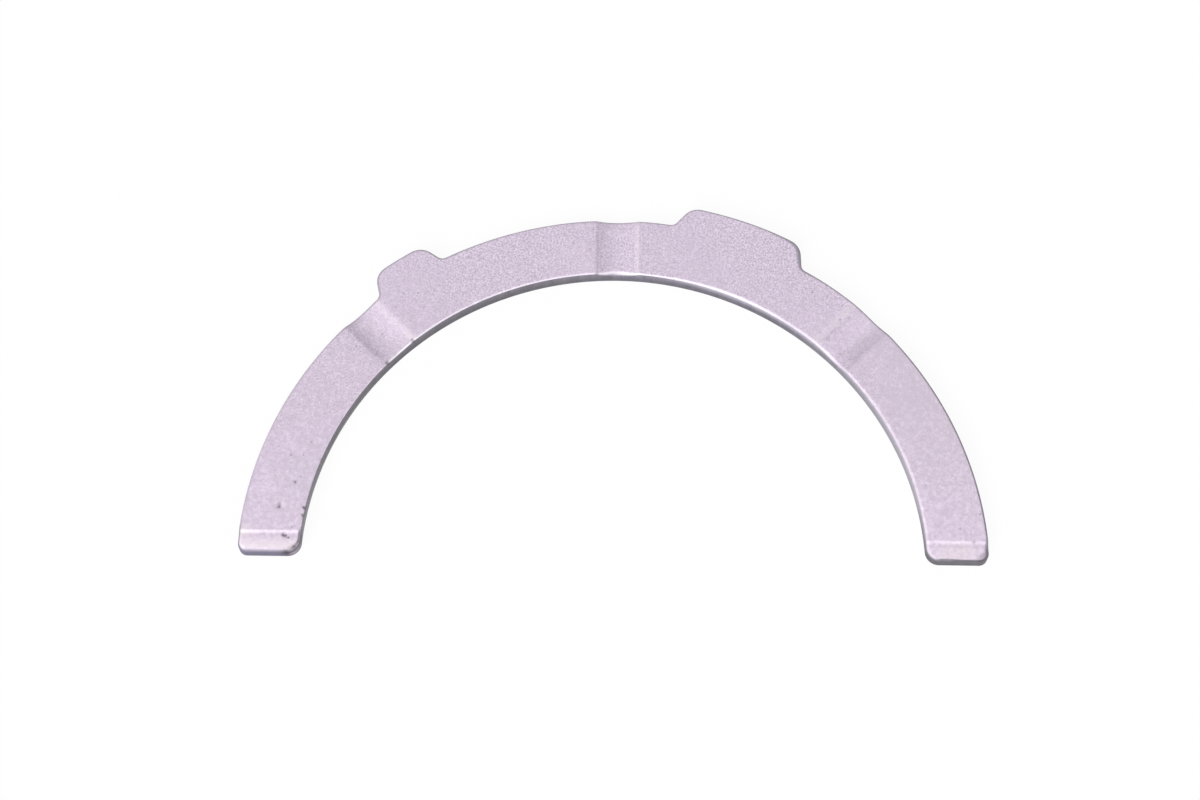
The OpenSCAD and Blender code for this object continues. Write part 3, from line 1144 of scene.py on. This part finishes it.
def seen_directly(n):
    """1 for rays that show a surface, straight, reflected or through glass, and 0 for light on the part."""
    path = n.add("ShaderNodeLightPath")
    seen = n.math("MAXIMUM", path.outputs["Is Camera Ray"], path.outputs["Is Glossy Ray"])
    return n.math("MAXIMUM", seen, path.outputs["Is Transmission Ray"])


def floor_white():
    """Material of the floor: nearly plain white where it is seen, and pale and matt for the light."""
    material = bpy.data.materials.new("floor")
    material.use_nodes = True
    n = Nodes(material.node_tree)
    lit = n.add("ShaderNodeBsdfDiffuse", {"Color": FLOOR_COLOUR})
    white = n.add("ShaderNodeEmission", {"Color": WHITE, "Strength": 1.0})
    share = n.times(seen_directly(n), FLOOR_WHITE)
    both = n.add("ShaderNodeMixShader", {0: share, 1: lit.outputs[0], 2: white.outputs[0]})
    n.add("ShaderNodeOutputMaterial", {"Surface": both.outputs[0]})
    return material


def build_floor():
    mesh = bpy.data.meshes.new("floor")
    corners = ((-1, -1), (1, -1), (1, 1), (-1, 1))
    points = [(x * FLOOR_HALF, y * FLOOR_HALF, -FLOOR_GAP) for x, y in corners]
    mesh.from_pydata(points, [], [(0, 1, 2, 3)])
    mesh.materials.append(floor_white())
    floor = bpy.data.objects.new("floor", mesh)
    bpy.context.collection.objects.link(floor)


def light_scene():
    world = bpy.data.worlds.new("studio")
    bpy.context.scene.world = world
    world.use_nodes = True
    n = Nodes(world.node_tree)
    strength = n.math("MULTIPLY_ADD", seen_directly(n), 1 - AMBIENT, AMBIENT)
    sky = n.add("ShaderNodeBackground", {"Color": WHITE, "Strength": strength})
    n.add("ShaderNodeOutputWorld", {"Surface": sky.outputs[0]})
    lamp = bpy.data.lights.new("key", "SUN")
    lamp.energy = KEY
    lamp.angle = math.radians(KEY_SIZE)
    key = bpy.data.objects.new("key", lamp)
    az, el = math.radians(KEY_AZIMUTH), math.radians(KEY_ELEVATION)
    towards = Vector((math.cos(az) * math.cos(el), math.sin(az) * math.cos(el), math.sin(el)))
    key.rotation_euler = towards.to_track_quat("Z", "Y").to_euler()
    bpy.context.collection.objects.link(key)


def build_camera():
    data = bpy.data.cameras.new("camera")
    data.sensor_width = SENSOR
    data.sensor_fit = "HORIZONTAL"
    data.lens = SENSOR * FOCAL_PX / IMAGE_W
    data.clip_start, data.clip_end = CAMERA_CLIP
    camera = bpy.data.objects.new("camera", data)
    bpy.context.collection.objects.link(camera)
    el, az, roll = (math.radians(v) for v in (CAMERA_ELEVATION, CAMERA_AZIMUTH, CAMERA_ROLL))
    back = Vector((math.sin(az) * math.cos(el), -math.cos(az) * math.cos(el), math.sin(el)))
    level = Vector((math.cos(az), math.sin(az), 0.0))
    rise = back.cross(level)
    right = math.cos(roll) * level + math.sin(roll) * rise
    up = math.cos(roll) * rise - math.sin(roll) * level
    camera.matrix_world = Matrix((right, up, back)).transposed().to_4x4()
    camera.location = (Vector(CAMERA_TARGET) + CAMERA_DISTANCE * back) * MM
    bpy.context.scene.camera = camera


body = build_washer()
body.data.materials.append(lined_strip())
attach(body, "root")
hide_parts("thrust_washer")
build_floor()
light_scene()
build_camera()
bpy.context.scene.view_settings.view_transform = "Standard"
